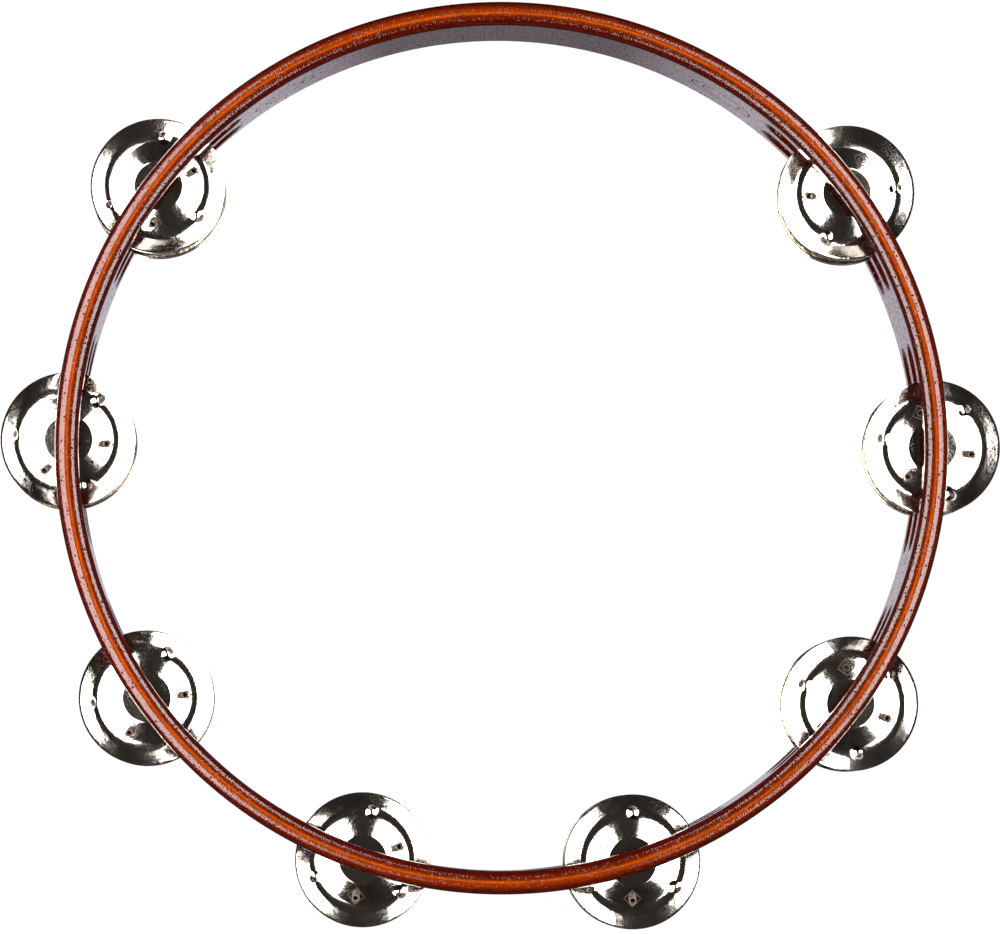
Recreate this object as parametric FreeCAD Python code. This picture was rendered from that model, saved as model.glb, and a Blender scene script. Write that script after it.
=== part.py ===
"""Headless wooden tambourine: a bent and glued hoop with two rows of slots, pins and paired jingles.

The hoop lies flat. The origin is on the hoop's axis at its lower edge, +Z is up,
and +Y points to the middle of the plain stretch where the hand holds it.
"""

import FreeCAD, Part
import os

# Hoop: three layers glued face to face. The outer and inner layers have quarter-round edges,
# and the thin pale layer between them shows as a line along the crown of each edge.
hoop_outer_radius = 127.0
hoop_height = 50.0
face_ply = 2.775
core_ply = 1.2
edge_radius = face_ply
# A rounding as wide as its layer would leave no edge between them, so it stops this much short.
rounding_margin = 0.001
same_length = 1e-6
hoop_wall = 2 * face_ply + core_ply
hoop_inner_radius = hoop_outer_radius - hoop_wall
pin_circle_radius = hoop_outer_radius - hoop_wall / 2

# Slots: two rows, one above the other, at eight places an equal step apart. The grip is the plain
# stretch between the last place and the first.
slot_length = 59.0
slot_height = 13.0
middle_web = 7.0
row_heights = {
    "bottom_row": hoop_height / 2 - (slot_height + middle_web) / 2,
    "top_row": hoop_height / 2 + (slot_height + middle_web) / 2,
}
place_count = 8
place_pitch = 36.3
grip_place = 90.0
first_place = grip_place + 180 - place_pitch * (place_count - 1) / 2
slot_overshoot = 4.0

# Pins: one long steel pin through both slots of a place, driven in from below and blind at the top.
# Its head sits deep in the lower edge, under a stopping that is lacquered over and is part of the wood here.
pin_radius = 1.2
pin_head_radius = 2.1
pin_head_thickness = 0.9
pin_head_sunk = 2.5
pin_bite = 4.5

# Jingles: stamped sheet discs with a flat raised boss, a valley and an upturned flange.
jingle_radius = 19.25
jingle_sheet = 0.6
jingle_hole_radius = 1.8
boss_radius = 6.9
boss_rise = 2.6
valley_radius = 14.0
flange_rise = 1.6
boss_fillet = 1.2
valley_fillet = 1.5
dimple_count = 3
dimple_radius = 2.6
dimple_depth = 0.55
# How far each place's uppermost jingle has turned on its pin, in degrees, place 1 first.
jingle_turns = [83, 54, 65, 80, 90, 38, 50, 6]
# The other three jingles of a place are turned on from that one by these angles.
stack_turns = {
    ("top_row", "upper"): 0,
    ("top_row", "lower"): 60,
    ("bottom_row", "upper"): 33,
    ("bottom_row", "lower"): 93,
}

# How a resting pair sits: the lower jingle's boss on the slot's floor, the upper one on its dimples.
rest_gap = 0.1

# A plain ring pressed into the inner wall on each side of the grip.
ring_mark_radius = 10.0
ring_mark_line = 0.5
ring_mark_depth = 0.3
ring_mark_step = 31.5

up = FreeCAD.Vector(0, 0, 1)
centre = FreeCAD.Vector(0, 0, 0)


def place_angle(number):
    """The direction of a jingle place from the hoop's axis, in degrees from +X towards +Y."""
    return first_place + (number - 1) * place_pitch


def at_place(shape, angle):
    """A copy of a shape made at +X, turned about the hoop's axis to an angle."""
    copy = shape.copy()
    copy.rotate(centre, up, angle)
    return copy


def ring_wall(inner, outer, low, high):
    """A plain tube about the hoop's axis."""
    base = FreeCAD.Vector(0, 0, low)
    solid = Part.makeCylinder(outer, high - low, base)
    return solid.cut(Part.makeCylinder(inner, high - low, base))


def rounded_ply(inner, outer, rounded_radius):
    """A layer of the hoop whose top and bottom edges are rounded at its outer or inner side."""
    ply = ring_wall(inner, outer, 0, hoop_height)
    edges = [
        edge
        for edge in ply.Edges
        if len(edge.Vertexes) == 1 and abs(edge.Curve.Radius - rounded_radius) < same_length
    ]
    return ply.makeFillet(edge_radius - rounding_margin, edges)


def slot_cutter(row_height):
    """A round-ended bar at +X, pointing out through the wall, that cuts one slot."""
    start = hoop_inner_radius - slot_overshoot
    depth = hoop_wall + 2 * slot_overshoot
    straight = slot_length - slot_height
    bar = Part.makeBox(
        depth,
        straight,
        slot_height,
        FreeCAD.Vector(start, -straight / 2, row_height - slot_height / 2),
    )
    for side in (-1, 1):
        end = FreeCAD.Vector(start, side * straight / 2, row_height)
        bar = bar.fuse(Part.makeCylinder(slot_height / 2, depth, end, FreeCAD.Vector(1, 0, 0)))
    return bar.removeSplitter()


def pin():
    """One pin at +X: a shank with a flat head, buried in the hoop's lower edge."""
    foot = FreeCAD.Vector(pin_circle_radius, 0, pin_head_sunk)
    top = row_heights["top_row"] + slot_height / 2 + pin_bite
    head = Part.makeCylinder(pin_head_radius, pin_head_thickness, foot)
    shank = Part.makeCylinder(pin_radius, top - pin_head_sunk, foot)
    return head.fuse(shank).removeSplitter()


def ring_mark():
    """A round groove for the inner wall at +X, as deep all round as the wall curves."""
    start = FreeCAD.Vector(hoop_inner_radius - slot_overshoot, 0, hoop_height / 2)
    outward = FreeCAD.Vector(1, 0, 0)
    reach = 2 * slot_overshoot
    tube = Part.makeCylinder(ring_mark_radius, reach, start, outward)
    tube = tube.cut(Part.makeCylinder(ring_mark_radius - ring_mark_line, reach, start, outward))
    skin = ring_wall(
        hoop_inner_radius - slot_overshoot,
        hoop_inner_radius + ring_mark_depth,
        0,
        hoop_height,
    )
    return tube.common(skin)


def hoop_plies():
    """The three layers of the hoop with their slots, pin holes and ring marks, by name."""
    core_inner = hoop_inner_radius + face_ply
    core_outer = core_inner + core_ply
    cutters = [
        at_place(tool, place_angle(number))
        for number in range(1, place_count + 1)
        for tool in [slot_cutter(height) for height in row_heights.values()] + [pin()]
    ]
    marks = [at_place(ring_mark(), grip_place + side * ring_mark_step) for side in (-1, 1)]
    return {
        "hoop_outer_ply": rounded_ply(core_outer, hoop_outer_radius, hoop_outer_radius).cut(cutters),
        "hoop_core_ply": ring_wall(core_inner, core_outer, 0, hoop_height).cut(cutters),
        "hoop_inner_ply": rounded_ply(hoop_inner_radius, core_inner, hoop_inner_radius).cut(
            cutters + marks
        ),
    }


def jingle_sheet_metal():
    """The stamped disc without its dimples: its sheet's outline turned about +Z, boss up.

    The underside of the valley is at z = 0.
    """
    line = [
        (jingle_hole_radius, boss_rise),
        (boss_radius, boss_rise),
        (valley_radius, 0),
        (jingle_radius, flange_rise),
    ]
    under = [FreeCAD.Vector(r, 0, z) for r, z in line]
    over = [point + up * jingle_sheet for point in reversed(under)]
    outline = Part.makePolygon(under + over + [under[0]])
    disc = Part.Face(outline).revolve(centre, up, 360)
    bends = {boss_radius: boss_fillet, valley_radius: valley_fillet}
    for radius, fillet in bends.items():
        edges = [
            edge
            for edge in disc.Edges
            if hasattr(edge.Curve, "Radius") and abs(edge.Curve.Radius - radius) < same_length
        ]
        disc = disc.makeFillet(fillet, edges)
    return disc


def jingle():
    """A finished jingle, boss up, with three dimples pressed down into the valley."""
    disc = jingle_sheet_metal()
    for number in range(dimple_count):
        middle = FreeCAD.Vector(valley_radius, 0, dimple_radius - dimple_depth)
        punch = Part.makeSphere(dimple_radius, middle)
        punch = punch.common(
            Part.makeBox(
                2 * dimple_radius,
                2 * dimple_radius,
                dimple_depth + jingle_sheet / 2,
                FreeCAD.Vector(valley_radius - dimple_radius, -dimple_radius, -dimple_depth),
            )
        )
        hollow = Part.makeSphere(dimple_radius - jingle_sheet, middle)
        turn = number * 360 / dimple_count
        disc = disc.fuse(at_place(punch, turn)).cut(at_place(hollow, turn))
    return disc.removeSplitter()


def jingles_of_place(number, disc):
    """The four jingles on one pin, by name, resting on each slot's floor."""
    shapes = {}
    stack = boss_rise + jingle_sheet
    for row, height in row_heights.items():
        floor = height - slot_height / 2
        contact = floor + rest_gap + stack
        for side in ("lower", "upper"):
            shape = disc.copy()
            turn = jingle_turns[number - 1] + stack_turns[(row, side)]
            if side == "lower":
                shape.rotate(centre, FreeCAD.Vector(1, 0, 0), 180)
                lift = contact
            else:
                lift = contact + dimple_depth + rest_gap
            shape.rotate(centre, up, turn - place_angle(number))
            shape.translate(FreeCAD.Vector(pin_circle_radius, 0, lift))
            shapes[f"jingle_{number}_{row}_{side}"] = at_place(shape, place_angle(number))
    return shapes


def tambourine():
    """Every piece of the tambourine, by name."""
    shapes = hoop_plies()
    disc = jingle()
    for number in range(1, place_count + 1):
        shapes[f"pin_{number}"] = at_place(pin(), place_angle(number))
        shapes.update(jingles_of_place(number, disc))
    return shapes


os.makedirs("parts", exist_ok=True)
for name, shape in tambourine().items():
    if not shape.isValid() or len(shape.Solids) != 1:
        raise ValueError(f"{name} is not one sound solid")
    shape.Solids[0].exportStep(f"parts/{name}.step")
    print(f"{name}: {shape.Volume:.1f} mm3")
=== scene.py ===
"""The look of a headless wooden tambourine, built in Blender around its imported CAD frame.

The hoop lies flat with its axis on Z, and +Y points to the middle of the plain grip.
"""

from math import atan2, cos, pi, radians, sin, sqrt, tan

import bmesh
import bpy
from bpy.props import (
    FloatProperty,
    FloatVectorProperty,
    IntProperty,
    PointerProperty,
)
from mathutils import Matrix, Vector


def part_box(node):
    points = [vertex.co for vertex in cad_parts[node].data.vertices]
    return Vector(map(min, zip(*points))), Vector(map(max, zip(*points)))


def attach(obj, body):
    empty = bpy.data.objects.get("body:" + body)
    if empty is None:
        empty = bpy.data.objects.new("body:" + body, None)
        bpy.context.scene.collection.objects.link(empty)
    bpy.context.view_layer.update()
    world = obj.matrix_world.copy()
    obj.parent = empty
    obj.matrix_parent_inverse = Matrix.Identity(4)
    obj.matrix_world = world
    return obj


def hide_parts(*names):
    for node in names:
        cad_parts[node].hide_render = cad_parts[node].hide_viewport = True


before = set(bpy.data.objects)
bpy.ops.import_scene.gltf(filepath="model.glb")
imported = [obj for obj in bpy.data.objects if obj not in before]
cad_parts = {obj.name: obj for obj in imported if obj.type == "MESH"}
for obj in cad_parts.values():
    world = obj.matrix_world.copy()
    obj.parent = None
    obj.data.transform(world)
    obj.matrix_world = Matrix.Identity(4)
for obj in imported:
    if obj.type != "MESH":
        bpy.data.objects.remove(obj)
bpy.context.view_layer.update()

bl_info = {
    "name": "Wooden Tambourine",
    "version": (1, 0, 0),
    "blender": (4, 5, 0),
    "location": "3D View > Sidebar > Tambourine",
    "description": "Makes a lacquered bentwood hoop with paired jingles, and a studio stage for it",
    "category": "Object",
}

mm = 0.001
up = Vector((0, 0, 1))
full_turn = 2 * pi
joined = 1e-6

rows = ("bottom_row", "top_row")
sides = ("lower", "upper")
place_count = 8
# The wall's layers, as distances from the axis.
outer_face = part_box("hoop_outer_ply")[1].x
core_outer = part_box("hoop_core_ply")[1].x
core_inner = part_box("hoop_inner_ply")[1].x
face_ply = outer_face - core_outer
inner_face = core_inner - face_ply
hoop_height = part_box("hoop_outer_ply")[1].z


def length_property(name, description, default):
    """A size that a user may change, in metres."""
    return FloatProperty(name=name, description=description, default=default, min=0, unit="LENGTH")


def linear(code):
    """The linear RGBA of an sRGB hex code such as "c8a070"."""
    channels = [int(code[i:i + 2], 16) / 255 for i in (0, 2, 4)]
    return tuple(c / 12.92 if c <= 0.04045 else ((c + 0.055) / 1.055) ** 2.4 for c in channels) + (1.0,)


class TambourineHoop(bpy.types.PropertyGroup):
    """Sizes of the wooden hoop."""

    steps: IntProperty(name="Steps", description="Straight steps round the hoop", default=360, min=48)
    slot_length: length_property("Slot length", "Length of a jingle slot", 59 * mm)
    slot_height: length_property("Slot height", "Height of a jingle slot", 13 * mm)
    middle_web: length_property("Middle web", "Wood between the two rows of slots", 7 * mm)
    slot_round: length_property("Slot round-over", "Rounding of a slot's edges", 0.6 * mm)
    ring_mark: length_property("Ring mark", "Radius of the rings pressed into the inner wall", 10 * mm)
    inner_ring: length_property("Inner ring", "Radius of the smaller ring inside each ring mark", 6.5 * mm)
    ring_line: length_property("Ring line", "Width of a ring mark's groove", 0.5 * mm)
    ring_depth: length_property("Ring depth", "Depth of a ring mark's groove", 0.3 * mm)
    ring_step: FloatProperty(
        name="Ring step",
        description="Angle from the middle of the grip to a ring mark",
        default=radians(31.5),
        unit="ROTATION",
        subtype="ANGLE",
    )


class TambourineJingles(bpy.types.PropertyGroup):
    """Sizes of the stamped discs."""

    steps: IntProperty(name="Steps", description="Straight steps round a disc", default=180, min=48)
    sheet: length_property("Sheet", "Thickness of the metal", 0.6 * mm)
    hole: length_property("Hole", "Radius of the hole for the pin", 1.8 * mm)
    boss: length_property("Boss radius", "Radius of the flat raised middle", 6.9 * mm)
    boss_rise: length_property("Boss rise", "Height of the boss over the valley", 2.6 * mm)
    valley: length_property("Valley radius", "Radius of the lowest ring", 14 * mm)
    valley_bend: length_property("Valley bend", "Radius of the bend along the valley", 4.5 * mm)
    rim: length_property("Rim radius", "Outer radius of the disc", 19.25 * mm)
    flange_rise: length_property("Flange rise", "Height of the rim over the valley", 1.6 * mm)
    dimple: length_property("Dimple radius", "Radius of the three dimples in the valley", 1.9 * mm)
    dimple_depth: length_property("Dimple depth", "Depth of the dimples", 0.55 * mm)
    stamp: length_property("Stamp size", "Half length of the lozenge stamped on the slope", 2.7 * mm)
    stamp_line: length_property("Stamp line", "Width of the stamped lines", 0.36 * mm)
    stamp_depth: length_property("Stamp depth", "Depth of the stamped lines", 0.28 * mm)
    turns: FloatVectorProperty(
        name="Turns",
        description="How far the uppermost disc of each place has turned on its pin",
        default=[radians(turn) for turn in (83, 54, 65, 80, 90, 38, 50, 6)],
        size=place_count,
        unit="ROTATION",
    )


# ---------------------------------------------------------------- helpers


def piece_from(bm, name):
    """A new object at the origin from a bmesh, in the scene."""
    mesh = bpy.data.meshes.new(name)
    bm.to_mesh(mesh)
    bm.free()
    piece = bpy.data.objects.new(name, mesh)
    bpy.context.scene.collection.objects.link(piece)
    return piece


def smooth(piece, limit=radians(32)):
    """Smooth shading, broken where faces meet at more than the limit."""
    piece.data.shade_smooth()
    piece.data.set_sharp_from_angle(angle=limit)


def cut(piece, cutter):
    """Takes the cutter away from a piece for good."""
    modifier = piece.modifiers.new("Cut", "BOOLEAN")
    modifier.operation = "DIFFERENCE"
    modifier.solver = "EXACT"
    modifier.object = cutter
    evaluated = piece.evaluated_get(bpy.context.evaluated_depsgraph_get())
    mesh = bpy.data.meshes.new_from_object(evaluated)
    piece.modifiers.clear()
    old = piece.data
    mesh.name = old.name
    piece.data = mesh
    bpy.data.meshes.remove(old)


def discard(piece):
    """Removes a piece that was only needed on the way, with its mesh."""
    mesh = piece.data
    bpy.data.objects.remove(piece)
    bpy.data.meshes.remove(mesh)


def outline(bm, points):
    """A closed line of edges through points given as (radius, height)."""
    corners = [bm.verts.new((r, 0, z)) for r, z in points]
    for first, second in zip(corners, corners[1:] + corners[:1]):
        bm.edges.new((first, second))
    return corners


def round_corner(bm, corner, offset, segments):
    """Rounds one corner of an outline."""
    bmesh.ops.bevel(
        bm,
        geom=[corner],
        offset=offset,
        segments=segments,
        profile=0.5,
        affect="VERTICES",
        material=-1,
    )


def turn_outline(bm, steps):
    """Turns the outline about Z into a closed ring."""
    bmesh.ops.spin(
        bm,
        geom=bm.verts[:] + bm.edges[:],
        cent=(0, 0, 0),
        axis=up,
        angle=full_turn,
        steps=steps,
        use_merge=True,
        use_duplicate=False,
    )
    bmesh.ops.remove_doubles(bm, verts=bm.verts[:], dist=joined)
    bmesh.ops.recalc_face_normals(bm, faces=bm.faces[:])


# ---------------------------------------------------------------- materials


def new_material(name):
    """An empty node material with its output, and its node tree."""
    material = bpy.data.materials.new(name)
    material.use_nodes = True
    material.node_tree.nodes.clear()
    return material, material.node_tree


def add(tree, kind, links=None, ramp=None, **settings):
    """Adds one node with its settings, and its sockets' values or links."""
    node = tree.nodes.new(kind)
    for name, value in settings.items():
        setattr(node, name, value)
    if ramp:
        for position, code in ramp[2:]:
            node.color_ramp.elements.new(position)
        for element, (position, code) in zip(node.color_ramp.elements, ramp):
            element.position = position
            element.color = linear(code)
    for socket, value in (links or {}).items():
        if isinstance(value, bpy.types.NodeSocket):
            tree.links.new(value, node.inputs[socket])
        else:
            node.inputs[socket].default_value = value
    return node


def hoop_coordinates(tree):
    """A point's place as (length along the hoop, radius, height), its radius and its angle.

    Lengths are in millimetres.
    """
    place = add(tree, "ShaderNodeTexCoord")
    axes = add(tree, "ShaderNodeSeparateXYZ", {0: place.outputs["Object"]})
    angle = add(tree, "ShaderNodeMath", {0: axes.outputs["Y"], 1: axes.outputs["X"]}, operation="ARCTAN2")
    flat = add(tree, "ShaderNodeCombineXYZ", {0: axes.outputs["X"], 1: axes.outputs["Y"]})
    radius = add(tree, "ShaderNodeVectorMath", {0: flat.outputs[0]}, operation="LENGTH")
    along = add(
        tree, "ShaderNodeMath", {0: angle.outputs[0], 1: outer_face / mm}, operation="MULTIPLY"
    )
    radius_mm = add(tree, "ShaderNodeMath", {0: radius.outputs["Value"], 1: 1 / mm}, operation="MULTIPLY")
    height_mm = add(tree, "ShaderNodeMath", {0: axes.outputs["Z"], 1: 1 / mm}, operation="MULTIPLY")
    whole = add(
        tree,
        "ShaderNodeCombineXYZ",
        {0: along.outputs[0], 1: radius_mm.outputs[0], 2: height_mm.outputs[0]},
    )
    return whole.outputs[0], radius_mm.outputs[0], angle.outputs[0]


def lacquered_veneer(name, stain, pore_size):
    """Stained veneer edge under dipped gloss lacquer, with its colour given by depth through the wall.

    The stain pools dark where the edges were sanded round and the thin layers show as lines along
    the hoop. Open pores break the gloss into short strokes across it, and pits show as dark specks, partly
    darker stain and partly painted shade.
    """
    material, tree = new_material(name)
    where, radius, _ = hoop_coordinates(tree)
    depth = add(
        tree,
        "ShaderNodeMapRange",
        {"Value": radius, "From Min": outer_face / mm, "From Max": inner_face / mm},
    )

    # Layer lines: 0.4 mm apart through the wall and some 30 mm long.
    line_place = add(tree, "ShaderNodeMapping", {"Vector": where, "Scale": (0.03, 2.6, 0.6)})
    lines = add(
        tree,
        "ShaderNodeTexNoise",
        {"Vector": line_place.outputs[0], "Scale": 1.0, "Detail": 4.0, "Roughness": 0.6},
    )
    wander = add(
        tree, "ShaderNodeMath", {0: lines.outputs["Fac"], 1: 0.12, 2: -0.06}, operation="MULTIPLY_ADD"
    )
    shifted = add(tree, "ShaderNodeMath", {0: depth.outputs[0], 1: wander.outputs[0]}, operation="ADD")
    colour = add(tree, "ShaderNodeValToRGB", {0: shifted.outputs[0]}, ramp=stain)

    # Clouds of stain 6 mm long, and specks 0.5 mm wide where it soaked into the end of a fibre.
    cloud_place = add(tree, "ShaderNodeMapping", {"Vector": where, "Scale": (0.16, 0.9, 0.25)})
    clouds = add(
        tree,
        "ShaderNodeTexNoise",
        {"Vector": cloud_place.outputs[0], "Scale": 1.0, "Detail": 5.0, "Roughness": 0.65},
    )
    speck_place = add(tree, "ShaderNodeMapping", {"Vector": where, "Scale": (1.6, 2.4, 1.2)})
    specks = add(
        tree,
        "ShaderNodeTexNoise",
        {"Vector": speck_place.outputs[0], "Scale": 1.0, "Detail": 3.0, "Roughness": 0.75},
    )
    cloud = add(
        tree,
        "ShaderNodeMapRange",
        {"Value": clouds.outputs["Fac"], "From Min": 0.3, "From Max": 0.7, "To Min": 0.7, "To Max": 1.25},
    )
    speck = add(
        tree,
        "ShaderNodeMapRange",
        {"Value": specks.outputs["Fac"], "From Min": 0.35, "From Max": 0.6, "To Min": 0.6, "To Max": 1.15},
    )
    shade = add(tree, "ShaderNodeMath", {0: cloud.outputs[0], 1: speck.outputs[0]}, operation="MULTIPLY")
    shaded = add(
        tree, "ShaderNodeVectorMath", {0: colour.outputs[0], "Scale": shade.outputs[0]}, operation="SCALE"
    )

    # Pores: strokes 0.4 mm wide and a millimetre long, across the edge.
    pore_place = add(tree, "ShaderNodeMapping", {"Vector": where, "Scale": (2.6, 0.95, 0.5)})
    pores = add(
        tree,
        "ShaderNodeTexNoise",
        {"Vector": pore_place.outputs[0], "Scale": 1.0, "Detail": 1.0, "Roughness": 0.5},
    )
    stroke = add(
        tree,
        "ShaderNodeBump",
        {"Height": pores.outputs["Fac"], "Strength": 1.0, "Distance": pore_size},
    )
    open_pore = add(
        tree,
        "ShaderNodeMapRange",
        {"Value": pores.outputs["Fac"], "From Min": 0.31, "From Max": 0.39, "To Min": 0.15, "To Max": 1.0},
    )
    # Pits: 0.5 mm wide and a millimetre or two apart, missing from two cells in five.
    pit_place = add(tree, "ShaderNodeMapping", {"Vector": where, "Scale": (0.75, 0.95, 0.6)})
    cells = add(tree, "ShaderNodeTexVoronoi", {"Vector": pit_place.outputs[0], "Scale": 1.0})
    chosen = add(tree, "ShaderNodeSeparateColor", {0: cells.outputs["Color"]})
    kept = add(
        tree,
        "ShaderNodeMapRange",
        {"Value": chosen.outputs[0], "From Min": 0.38, "From Max": 0.42, "To Min": 0.3, "To Max": 0.0},
    )
    spread = add(
        tree,
        "ShaderNodeMath",
        {0: cells.outputs["Distance"], 1: kept.outputs[0]},
        operation="ADD",
    )
    pits = add(
        tree,
        "ShaderNodeMapRange",
        {"Value": spread.outputs[0], "From Min": 0.16, "From Max": 0.3},
        interpolation_type="SMOOTHSTEP",
    )
    bump = add(
        tree,
        "ShaderNodeBump",
        {
            "Height": pits.outputs[0],
            "Strength": 1.0,
            "Distance": 0.08 * mm,
            "Normal": stroke.outputs[0],
        },
    )
    # Lacquer sinks into pores and pits, so no gloss there; the base colour is halved there too, partly
    # darker stain and partly painted shade in the hollows.
    gloss = add(tree, "ShaderNodeMath", {0: pits.outputs[0], 1: open_pore.outputs[0]}, operation="MULTIPLY")
    pit_shade_and_stain = add(
        tree, "ShaderNodeMapRange", {"Value": gloss.outputs[0], "To Min": 0.5, "To Max": 1.0}
    )
    stained = add(
        tree, "ShaderNodeVectorMath", {0: shaded.outputs[0], "Scale": pit_shade_and_stain.outputs[0]}, operation="SCALE"
    )
    shader = add(
        tree,
        "ShaderNodeBsdfPrincipled",
        {
            "Base Color": stained.outputs[0],
            "Roughness": 0.6,
            "Specular IOR Level": 0.0,
            "Coat Weight": gloss.outputs[0],
            "Coat Roughness": 0.05,
            "Coat IOR": 1.6,
            "Normal": bump.outputs[0],
            "Coat Normal": bump.outputs[0],
        },
    )
    add(tree, "ShaderNodeOutputMaterial", {"Surface": shader.outputs[0]})
    return material


def lacquered_wood():
    """Beech face veneer, stained mahogany red: dark at the faces, lighter towards the crown."""
    return lacquered_veneer(
        "stained_beech_gloss_lacquer",
        [
            (0.0, "300400"),
            (0.10, "3a0701"),
            (0.22, "4e1201"),
            (0.40, "642002"),
            (0.60, "521602"),
            (0.70, "400d01"),
            (0.86, "380601"),
            (1.0, "320501"),
        ],
        0.08 * mm,
    )


def core_wood():
    """Birch core under the same lacquer: a warm orange line, darker beside its glue lines."""
    return lacquered_veneer(
        "orange_birch_core_gloss_lacquer",
        [
            (0.0, "642002"),
            (0.41, "642002"),
            (0.45, "6a2402"),
            (0.5, "883803"),
            (0.53, "7e3202"),
            (0.57, "5c1c02"),
            (0.6, "521602"),
        ],
        0.05 * mm,
    )


def nickel_plate():
    """Stamped steel sheet with bright nickel plate: a warm mirror with a faint ripple and a fine grain."""
    material, tree = new_material("bright_nickel_plate")
    place = add(tree, "ShaderNodeTexCoord")
    ripple_place = add(
        tree, "ShaderNodeMapping", {"Vector": place.outputs["Object"], "Scale": (350, 350, 350)}
    )
    ripple = add(
        tree,
        "ShaderNodeTexNoise",
        {"Vector": ripple_place.outputs[0], "Scale": 1.0, "Detail": 2.0, "Roughness": 0.5},
    )
    grain_place = add(
        tree, "ShaderNodeMapping", {"Vector": place.outputs["Object"], "Scale": (3000, 3000, 3000)}
    )
    grain = add(
        tree,
        "ShaderNodeTexNoise",
        {"Vector": grain_place.outputs[0], "Scale": 1.0, "Detail": 2.0, "Roughness": 0.6},
    )
    tint = add(
        tree,
        "ShaderNodeValToRGB",
        {0: ripple.outputs["Fac"]},
        ramp=[(0.3, "d6d0c6"), (0.7, "e2ddd4")],
    )
    gloss = add(
        tree,
        "ShaderNodeMapRange",
        {"Value": grain.outputs["Fac"], "From Min": 0.35, "From Max": 0.65, "To Min": 0.06, "To Max": 0.14},
    )
    wave = add(
        tree, "ShaderNodeBump", {"Height": ripple.outputs["Fac"], "Strength": 1.0, "Distance": 0.05 * mm}
    )
    hair = add(
        tree,
        "ShaderNodeBump",
        {
            "Height": grain.outputs["Fac"],
            "Strength": 1.0,
            "Distance": 0.006 * mm,
            "Normal": wave.outputs[0],
        },
    )
    shader = add(
        tree,
        "ShaderNodeBsdfPrincipled",
        {
            "Base Color": tint.outputs[0],
            "Metallic": 1.0,
            "Roughness": gloss.outputs[0],
            "Normal": hair.outputs[0],
        },
    )
    add(tree, "ShaderNodeOutputMaterial", {"Surface": shader.outputs[0]})
    return material


def stamp_groove_shade():
    """Grey-brown painted shade in the stamped grooves, which marks the stamps off from the bright plate."""
    material, tree = new_material("painted_groove_shade")
    place = add(tree, "ShaderNodeTexCoord")
    groove_mottle = add(
        tree,
        "ShaderNodeTexNoise",
        {"Vector": place.outputs["Object"], "Scale": 4000.0, "Detail": 2.0},
    )
    # Painted shade: a mottled dark grey-brown in place of the plate's mirror inside the grooves.
    colour = add(
        tree, "ShaderNodeValToRGB", {0: groove_mottle.outputs["Fac"]}, ramp=[(0.35, "3c2e26"), (0.65, "74645a")]
    )
    bump = add(
        tree, "ShaderNodeBump", {"Height": groove_mottle.outputs["Fac"], "Strength": 1.0, "Distance": 0.01 * mm}
    )
    shader = add(
        tree,
        "ShaderNodeBsdfPrincipled",
        {"Base Color": colour.outputs[0], "Roughness": 0.7, "Normal": bump.outputs[0]},
    )
    add(tree, "ShaderNodeOutputMaterial", {"Surface": shader.outputs[0]})
    return material


def drawn_steel():
    """Drawn steel wire: a grey sheen with fine lines along the pin."""
    material, tree = new_material("drawn_steel_wire")
    place = add(tree, "ShaderNodeTexCoord")
    line_place = add(
        tree, "ShaderNodeMapping", {"Vector": place.outputs["Object"], "Scale": (6000, 6000, 120)}
    )
    lines = add(
        tree,
        "ShaderNodeTexNoise",
        {"Vector": line_place.outputs[0], "Scale": 1.0, "Detail": 3.0, "Roughness": 0.6},
    )
    tint = add(
        tree, "ShaderNodeValToRGB", {0: lines.outputs["Fac"]}, ramp=[(0.3, "8e8c88"), (0.7, "b6b4b0")]
    )
    gloss = add(
        tree,
        "ShaderNodeMapRange",
        {"Value": lines.outputs["Fac"], "From Min": 0.3, "From Max": 0.7, "To Min": 0.2, "To Max": 0.38},
    )
    bump = add(
        tree, "ShaderNodeBump", {"Height": lines.outputs["Fac"], "Strength": 1.0, "Distance": 0.01 * mm}
    )
    shader = add(
        tree,
        "ShaderNodeBsdfPrincipled",
        {
            "Base Color": tint.outputs[0],
            "Metallic": 1.0,
            "Roughness": gloss.outputs[0],
            "Normal": bump.outputs[0],
        },
    )
    add(tree, "ShaderNodeOutputMaterial", {"Surface": shader.outputs[0]})
    return material


def white_board():
    """Matt white board lit from behind: an even white with a fine tooth."""
    material, tree = new_material("backlit_white_board")
    place = add(tree, "ShaderNodeTexCoord")
    tooth = add(
        tree, "ShaderNodeTexNoise", {"Vector": place.outputs["Object"], "Scale": 900.0, "Detail": 2.0}
    )
    colour = add(
        tree, "ShaderNodeValToRGB", {0: tooth.outputs["Fac"]}, ramp=[(0.3, "f8f8f8"), (0.7, "fefefe")]
    )
    shader = add(
        tree,
        "ShaderNodeBsdfPrincipled",
        {
            "Base Color": (0.06, 0.06, 0.06, 1),
            "Roughness": 1.0,
            "Specular IOR Level": 0.0,
            "Emission Color": colour.outputs[0],
            "Emission Strength": 1.0,
        },
    )
    add(tree, "ShaderNodeOutputMaterial", {"Surface": shader.outputs[0]})
    return material


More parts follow.
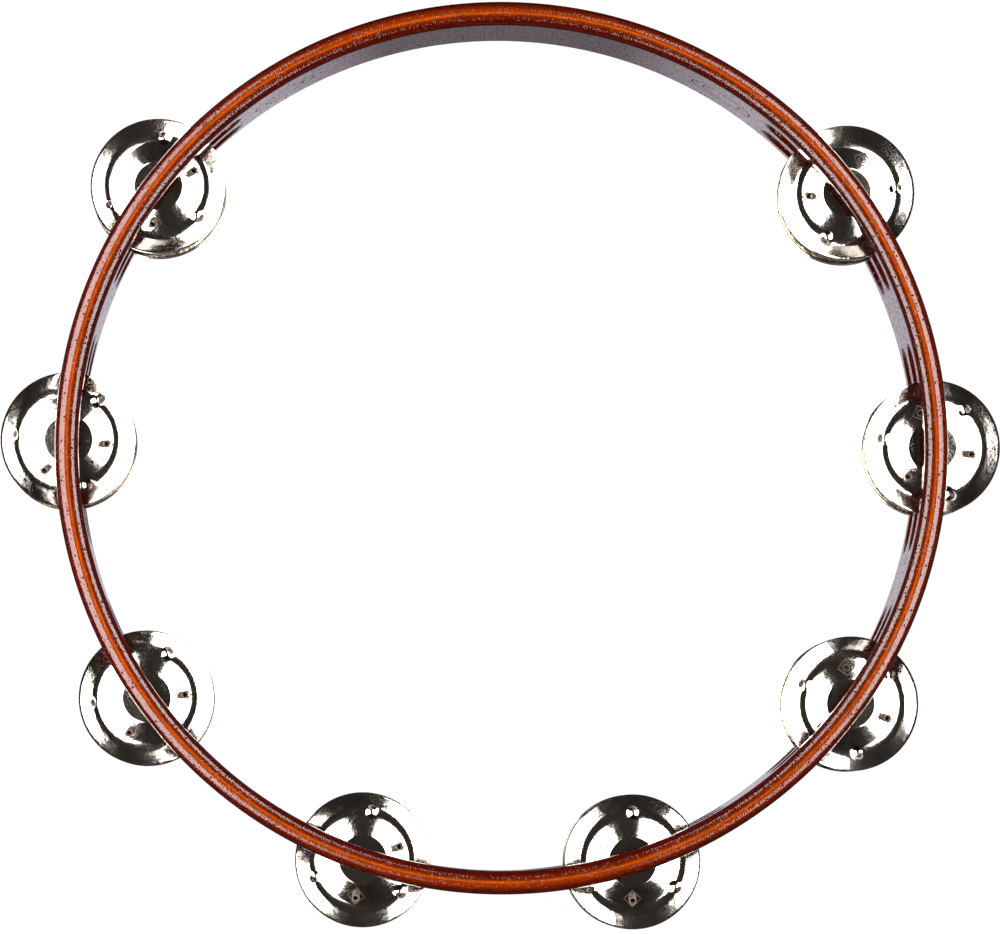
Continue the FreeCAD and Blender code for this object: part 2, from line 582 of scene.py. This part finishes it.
def glowing_reflection_card():
    """Grey card that glows with a bright ring under the hoop's wall, dimmer at the grip, that only
    reflections see: painted reflections for the hoop's inner wall.
    """
    material, tree = new_material("glowing_reflection_card")
    _, radius, angle = hoop_coordinates(tree)
    ring = add(
        tree,
        "ShaderNodeValToRGB",
        {
            0: add(
                tree,
                "ShaderNodeMapRange",
                {"Value": radius, "From Min": 70.0, "From Max": 150.0},
            ).outputs[0]
        },
        ramp=[(0.2, "4a4850"), (0.5, "d8d0da"), (0.68, "d8d0da"), (0.76, "4a4850")],
    )
    # Painted reflection: the glow is dimmer near the grip, so the inner wall there reflects darker.
    from_grip = add(tree, "ShaderNodeMath", {0: angle, 1: pi / 2}, operation="SUBTRACT")
    away = add(tree, "ShaderNodeMath", {0: from_grip.outputs[0]}, operation="ABSOLUTE")
    strength = add(
        tree,
        "ShaderNodeMapRange",
        {
            "Value": away.outputs[0],
            "From Min": radians(16),
            "From Max": radians(34),
            "To Min": 0.3,
            "To Max": 1.0,
        },
    )
    shader = add(tree, "ShaderNodeEmission", {"Color": ring.outputs[0], "Strength": strength.outputs[0]})
    add(tree, "ShaderNodeOutputMaterial", {"Surface": shader.outputs[0]})
    return material


def dim_ceiling():
    """Dark grey ceiling of the room, which only reflections see."""
    material, tree = new_material("dim_ceiling")
    place = add(tree, "ShaderNodeTexCoord")
    patches = add(tree, "ShaderNodeTexNoise", {"Vector": place.outputs["Object"], "Scale": 2.0})
    colour = add(
        tree, "ShaderNodeValToRGB", {0: patches.outputs["Fac"]}, ramp=[(0.35, "181614"), (0.65, "302c2a")]
    )
    shader = add(tree, "ShaderNodeEmission", {"Color": colour.outputs[0], "Strength": 1.0})
    add(tree, "ShaderNodeOutputMaterial", {"Surface": shader.outputs[0]})
    return material


# ---------------------------------------------------------------- hoop


def place_angle(number):
    """The direction of a jingle place from the hoop's axis."""
    low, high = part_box(f"pin_{number}")
    middle = (low + high) / 2
    return atan2(middle.y, middle.x)


slot_overshoot = 6 * mm
slot_mouth_steps = 4
slot_outline_steps = 48


def add_slot_cutter(bm, settings, angle, height):
    """A round-ended bar whose mouths widen where the hoop's faces are rounded over."""
    half = settings.slot_height / 2
    reach = settings.slot_length / 2 - half
    outer, inner, soft = outer_face, inner_face, settings.slot_round
    # The angle between two loops of a mouth.
    step_angle = pi / 2 / slot_mouth_steps
    # Rounding from the inner face into the slot: (radius from the axis, growth of the outline).
    inner_mouth = [
        (inner + soft * sin(step * step_angle), soft * (1 - cos(pi / 2 - step * step_angle)))
        for step in range(slot_mouth_steps + 1)
    ]
    loops = [(inner - slot_overshoot, soft)] + inner_mouth
    loops += [(outer - (radius - inner), growth) for radius, growth in reversed(loops)]
    circle = bmesh.ops.create_circle(
        bm,
        cap_ends=False,
        radius=half,
        segments=slot_outline_steps,
        matrix=Matrix.Rotation(pi / 2, 4, "Y"),
    )["verts"]
    outline_points = []
    for vert in circle:
        middle = reach if vert.co.y > joined else -reach
        outline_points.append((middle, vert.co.y, vert.co.z))
    edges = list({edge for vert in circle for edge in vert.link_edges})
    made = list(circle)
    current_verts, current_edges = circle, edges
    for index, (radius, growth) in enumerate(loops):
        if index:
            result = bmesh.ops.extrude_edge_only(bm, edges=current_edges)["geom"]
            fresh = [item for item in result if isinstance(item, bmesh.types.BMVert)]
            order = {}
            for vert in current_verts:
                for edge in vert.link_edges:
                    other = edge.other_vert(vert)
                    if other in fresh:
                        order[vert] = other
            current_verts = [order[vert] for vert in current_verts]
            current_edges = [
                item
                for item in result
                if isinstance(item, bmesh.types.BMEdge) and all(v in current_verts for v in item.verts)
            ]
            made += current_verts
        grow = (half + growth) / half
        for vert, (middle, y, z) in zip(current_verts, outline_points):
            across = middle + y * grow
            vert.co = (sqrt(radius ** 2 - across ** 2), across, z * grow)
        if index in (0, len(loops) - 1):
            bmesh.ops.contextual_create(bm, geom=current_edges)
    place = Matrix.Rotation(angle, 4, "Z") @ Matrix.Translation((0, 0, height))
    bmesh.ops.transform(bm, matrix=place, verts=made)


def add_tube(bm, outer, inner, length, segments, matrix, lowest=None):
    """A closed tube along Z from its own origin, placed by a matrix. Returns its vertices.

    With lowest, the tube's near end runs down to an edge there, so that it cuts a V.
    """
    loops, verts = [], []
    rings = [(outer, 0), (outer, length), (inner, length), (inner, 0)]
    if lowest is not None:
        rings.append(((outer + inner) / 2, lowest))
    for radius, height in rings:
        circle = bmesh.ops.create_circle(
            bm, cap_ends=False, radius=radius, segments=segments, matrix=Matrix.Translation((0, 0, height))
        )["verts"]
        loops.append(list({edge for vert in circle for edge in vert.link_edges}))
        verts += circle
    for first, second in zip(loops, loops[1:] + loops[:1]):
        bmesh.ops.bridge_loops(bm, edges=first + second)
    bmesh.ops.transform(bm, matrix=matrix, verts=verts)
    return verts


ring_overshoot = 3 * mm
ring_steps = 96


def add_ring_cutter(bm, settings, radius, angle):
    """A thin tube whose end is curved like the inner wall, for a ring mark."""
    turned = Matrix.Rotation(pi / 2, 4, "Y")
    verts = add_tube(bm, radius, radius - settings.ring_line, ring_overshoot, ring_steps, turned)
    for vert in verts:
        reach = inner_face + (settings.ring_depth if vert.co.x > joined else -ring_overshoot)
        vert.co.x = sqrt(reach ** 2 - vert.co.y ** 2)
    place = Matrix.Rotation(angle, 4, "Z") @ Matrix.Translation((0, 0, hoop_height / 2))
    bmesh.ops.transform(bm, matrix=place, verts=verts)


# A rounding as wide as its layer would leave no edge between them, so it stops this much short.
rounding_margin = 0.001 * mm
edge_steps = 12
wall_cuts = 15


def ply_ring(name, inner, outer, rounded, settings):
    """One layer of the hoop, with the corners at the rounded radius turned over."""
    bm = bmesh.new()
    low, high = 0.0, hoop_height
    corners = outline(bm, [(inner, low), (outer, low), (outer, high), (inner, high)])
    for corner in corners:
        if rounded and abs(corner.co.x - rounded) < joined:
            round_corner(bm, corner, face_ply - rounding_margin, edge_steps)
    walls = [
        edge for edge in bm.edges if abs(edge.verts[0].co.z - edge.verts[1].co.z) > hoop_height / 2
    ]
    bmesh.ops.subdivide_edges(bm, edges=walls, cuts=wall_cuts)
    turn_outline(bm, settings.steps)
    return piece_from(bm, name)


class TAMBOURINE_OT_make_hoop(bpy.types.Operator):
    """Makes the three glued layers of the hoop, with their slots and ring marks"""

    bl_idname = "tambourine.make_hoop"
    bl_label = "Make hoop"

    def execute(self, context):
        settings = context.scene.tambourine_hoop
        row_step = (settings.slot_height + settings.middle_web) / 2
        middle = hoop_height / 2
        bm = bmesh.new()
        for number in range(1, place_count + 1):
            for side in (-1, 1):
                add_slot_cutter(bm, settings, place_angle(number), middle + side * row_step)
        bmesh.ops.recalc_face_normals(bm, faces=bm.faces[:])
        slots = piece_from(bm, "slot_cutters")
        bm = bmesh.new()
        for side in (-1, 1):
            for radius in (settings.ring_mark, settings.inner_ring):
                add_ring_cutter(bm, settings, radius, pi / 2 + side * settings.ring_step)
        bmesh.ops.recalc_face_normals(bm, faces=bm.faces[:])
        rings = piece_from(bm, "ring_cutters")
        wood, core = lacquered_wood(), core_wood()
        plies = {
            "hoop_outer_ply": (core_outer, outer_face, outer_face, wood, "lacquered_wood"),
            "hoop_core_ply": (core_inner, core_outer, None, core, "pale_core_wood"),
            "hoop_inner_ply": (inner_face, core_inner, inner_face, wood, "lacquered_wood"),
        }
        for node, (inside, outside, rounded, material, slot) in plies.items():
            piece = ply_ring(node.replace("hoop_", "bent_"), inside, outside, rounded, settings)
            cut(piece, slots)
            if inside == inner_face:
                cut(piece, rings)
            smooth(piece)
            piece.data.materials.clear()
            piece.data.materials.append(material)
            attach(piece, "hoop")
            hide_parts(node)
        discard(slots)
        discard(rings)
        return {"FINISHED"}


# ---------------------------------------------------------------- jingles


dimple_count = 3
lozenge_sides = 4
small_ring_steps = 24
small_ring_share = 0.42
stamp_overshoot = 2 * mm
boss_bend_radius = 1.2 * mm
sheared_edge = 0.16 * mm
sheared_steps = 3
bend_steps = 7
face_spacing = 0.55 * mm


def add_stamp_cutters(bm, settings, angle):
    """A lozenge outline round a small ring, tilted like the slope between the boss and the valley."""
    slope = atan2(settings.boss_rise, settings.valley - settings.boss)
    middle = (settings.boss + settings.valley) / 2
    surface = settings.boss_rise / 2 + settings.sheet
    place = (
        Matrix.Rotation(angle, 4, "Z")
        @ Matrix.Translation((middle, 0, surface))
        @ Matrix.Rotation(slope, 4, "Y")
    )
    for outer, width, segments in (
        (settings.stamp, settings.stamp_line * sqrt(2), lozenge_sides),
        (settings.stamp * small_ring_share, settings.stamp_line, small_ring_steps),
    ):
        add_tube(bm, outer, outer - width, stamp_overshoot, segments, place, -settings.stamp_depth)


def disc_piece(settings):
    """One disc, boss up, with its axis on Z and the underside of its valley at height 0."""
    plate, groove_shade = nickel_plate(), stamp_groove_shade()
    bm = bmesh.new()
    line = [
        (settings.hole, settings.boss_rise),
        (settings.boss, settings.boss_rise),
        (settings.valley, 0),
        (settings.rim, settings.flange_rise),
    ]
    over = [(r, z + settings.sheet) for r, z in reversed(line)]
    corners = outline(bm, line + over)
    boss_slope = atan2(settings.boss_rise, settings.valley - settings.boss)
    flange_slope = atan2(settings.flange_rise, settings.rim - settings.valley)
    boss_bend = boss_bend_radius * tan(boss_slope / 2)
    valley_bend = settings.valley_bend * tan((boss_slope + flange_slope) / 2)
    # From the hole out to the rim on the underside, then back over the top.
    under = [sheared_edge, boss_bend, valley_bend, sheared_edge]
    for corner, offset in zip(corners, under + under[::-1]):
        round_corner(bm, corner, offset, sheared_steps if offset == sheared_edge else bend_steps)
    long_edges = [edge for edge in bm.edges if edge.calc_length() > 2 * face_spacing]
    for edge in long_edges:
        cuts = int(edge.calc_length() / face_spacing)
        bmesh.ops.subdivide_edges(bm, edges=[edge], cuts=cuts)
    turn_outline(bm, settings.steps)
    for number in range(dimple_count):
        turn = number * full_turn / dimple_count
        middle = Vector((settings.valley * cos(turn), settings.valley * sin(turn)))
        for vert in bm.verts:
            off = (vert.co.xy - middle).length / settings.dimple
            if off < 1:
                vert.co.z -= settings.dimple_depth * (1 - off ** 2) ** 2
    disc = piece_from(bm, "disc_master")
    bm = bmesh.new()
    # The stamps are halfway between the dimples.
    for number in range(dimple_count):
        add_stamp_cutters(bm, settings, (number + 0.5) * full_turn / dimple_count)
    bmesh.ops.recalc_face_normals(bm, faces=bm.faces[:])
    stamps = piece_from(bm, "stamp_cutters")
    for piece in (disc, stamps):
        piece.data.materials.append(plate)
        piece.data.materials.append(groove_shade)
    # The faces that the cutters leave behind keep the cutters' own material, the painted groove shade.
    for face in stamps.data.polygons:
        face.material_index = 1
    cut(disc, stamps)
    discard(stamps)
    smooth(disc)
    return disc


class TAMBOURINE_OT_make_jingles(bpy.types.Operator):
    """Makes the thirty-two stamped discs, two back to back in each slot"""

    bl_idname = "tambourine.make_jingles"
    bl_label = "Make jingles"

    def execute(self, context):
        settings = context.scene.tambourine_jingles
        master = disc_piece(settings)
        # Each pair is turned on from the uppermost disc, and each lower disc from its upper one.
        row_turns = {"top_row": 0, "bottom_row": radians(33)}
        lower_turn = radians(60)
        for number in range(1, place_count + 1):
            for row in rows:
                for side in sides:
                    node = f"jingle_{number}_{row}_{side}"
                    low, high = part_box(node)
                    pin_low, pin_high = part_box(f"pin_{number}")
                    middle = (pin_low + pin_high) / 2
                    turn = settings.turns[number - 1] + row_turns[row]
                    flip = Matrix.Identity(4)
                    height = low.z + settings.dimple_depth
                    if side == "lower":
                        turn += lower_turn
                        flip = Matrix.Rotation(pi, 4, "X")
                        height = high.z - settings.dimple_depth
                    place = (
                        Matrix.Translation((middle.x, middle.y, height))
                        @ Matrix.Rotation(turn, 4, "Z")
                        @ flip
                    )
                    mesh = master.data.copy()
                    mesh.name = node.replace("jingle", "disc")
                    mesh.transform(place)
                    piece = bpy.data.objects.new(mesh.name, mesh)
                    context.scene.collection.objects.link(piece)
                    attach(piece, node)
                    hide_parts(node)
        discard(master)
        return {"FINISHED"}


class TAMBOURINE_OT_finish_pins(bpy.types.Operator):
    """Gives the eight pins their drawn steel"""

    bl_idname = "tambourine.finish_pins"
    bl_label = "Finish pins"

    def execute(self, context):
        material = drawn_steel()
        for number in range(1, place_count + 1):
            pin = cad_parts[f"pin_{number}"]
            pin.data.materials.clear()
            pin.data.materials.append(material)
        return {"FINISHED"}


# ---------------------------------------------------------------- stage


camera_eye = Vector((-53.6, -109.8, 2304)) * mm
camera_aim = Vector((-0.6, -5.8, 50)) * mm
camera_roll = radians(0.45)
focal_length = 286.3
sensor_width = 36
far_clip = 50
board_steps = 8
# Each softbox: name, centre, azimuth, angle from the zenith, roll, size and power in watts.
softboxes = (
    ("left_softbox", (-0.375, -0.01, 0.43), radians(185), radians(45), 0, (0.86, 0.52), 11.5),
    (
        "right_softbox",
        (0.37, 0.08, 0.505),
        radians(-2),
        radians(48),
        radians(12),
        (0.88, 0.44),
        9.9,
    ),
)


def softbox(name, centre, azimuth, from_zenith, roll, size, watts):
    """A rectangular softbox. The angles say where its back points: round from +X, and down from +Z."""
    back = Vector((sin(from_zenith) * cos(azimuth), sin(from_zenith) * sin(azimuth), cos(from_zenith)))
    across = up.cross(back).normalized()
    axes = Matrix((across, back.cross(across), back)).transposed().to_4x4()
    lamp = bpy.data.lights.new(name, "AREA")
    lamp.shape = "RECTANGLE"
    lamp.size, lamp.size_y = size
    lamp.energy = watts
    lamp.color = linear("fffaf7")[:3]
    holder = bpy.data.objects.new(name, lamp)
    holder.matrix_world = Matrix.Translation(centre) @ axes @ Matrix.Rotation(roll, 4, "Z")
    holder.visible_camera = False
    bpy.context.scene.collection.objects.link(holder)


class TAMBOURINE_OT_set_stage(bpy.types.Operator):
    """Sets the camera, the white floor, two softboxes and the boards that reflections see"""

    bl_idname = "tambourine.set_stage"
    bl_label = "Set stage"

    def execute(self, context):
        scene = context.scene
        lens = bpy.data.cameras.new("view")
        lens.sensor_width = sensor_width
        lens.lens = focal_length
        lens.clip_end = far_clip
        camera = bpy.data.objects.new("view", lens)
        back = (camera_eye - camera_aim).normalized()
        right = Vector((0, 1, 0)).cross(back).normalized()
        axes = Matrix((right, back.cross(right), back)).transposed().to_4x4()
        roll = Matrix.Rotation(camera_roll, 4, "Z")
        camera.matrix_world = Matrix.Translation(camera_eye) @ axes @ roll
        scene.collection.objects.link(camera)
        scene.camera = camera

        # Each board: name, half its width, height, material, and whether the camera sees it.
        for name, size, height, material, seen in (
            ("floor", 30, 0, white_board(), True),
            ("glowing_reflection_card", 3, 0, glowing_reflection_card(), False),
            ("ceiling", 4, 3, dim_ceiling(), False),
        ):
            bm = bmesh.new()
            bmesh.ops.create_grid(
                bm,
                x_segments=board_steps,
                y_segments=board_steps,
                size=size,
                matrix=Matrix.Translation((0, 0, height)),
            )
            board = piece_from(bm, name)
            board.data.materials.append(material)
            board.visible_camera = seen
            board.visible_diffuse = not seen
            board.visible_glossy = not seen
            board.visible_shadow = False

        for box in softboxes:
            softbox(*box)

        world = bpy.data.worlds.new("white_room")
        world.use_nodes = True
        world.node_tree.nodes["Background"].inputs["Color"].default_value = (1, 1, 1, 1)
        scene.world = world
        world.cycles_visibility.diffuse = False
        world.cycles_visibility.glossy = False
        scene.view_settings.view_transform = "Standard"
        return {"FINISHED"}


class TAMBOURINE_PT_pieces(bpy.types.Panel):
    """The tambourine's pieces and settings"""

    bl_idname = "TAMBOURINE_PT_pieces"
    bl_label = "Tambourine"
    bl_space_type = "VIEW_3D"
    bl_region_type = "UI"
    bl_category = "Tambourine"

    def draw(self, context):
        for operator in operators:
            self.layout.operator(operator.bl_idname)
        for group in (context.scene.tambourine_hoop, context.scene.tambourine_jingles):
            column = self.layout.column()
            for name in group.__annotations__:
                column.prop(group, name)


groups = (TambourineHoop, TambourineJingles)
operators = (
    TAMBOURINE_OT_set_stage,
    TAMBOURINE_OT_make_hoop,
    TAMBOURINE_OT_make_jingles,
    TAMBOURINE_OT_finish_pins,
)


def register():
    """Makes the settings, operators and panel known to Blender."""
    for kind in groups + operators + (TAMBOURINE_PT_pieces,):
        bpy.utils.register_class(kind)
    bpy.types.Scene.tambourine_hoop = PointerProperty(type=TambourineHoop)
    bpy.types.Scene.tambourine_jingles = PointerProperty(type=TambourineJingles)


def unregister():
    """Takes them away again."""
    del bpy.types.Scene.tambourine_jingles
    del bpy.types.Scene.tambourine_hoop
    for kind in reversed(groups + operators + (TAMBOURINE_PT_pieces,)):
        bpy.utils.unregister_class(kind)


def main():
    """Makes every piece and the stage."""
    register()
    bpy.ops.tambourine.set_stage()
    bpy.ops.tambourine.make_hoop()
    bpy.ops.tambourine.make_jingles()
    bpy.ops.tambourine.finish_pins()


if __name__ == "__main__":
    main()
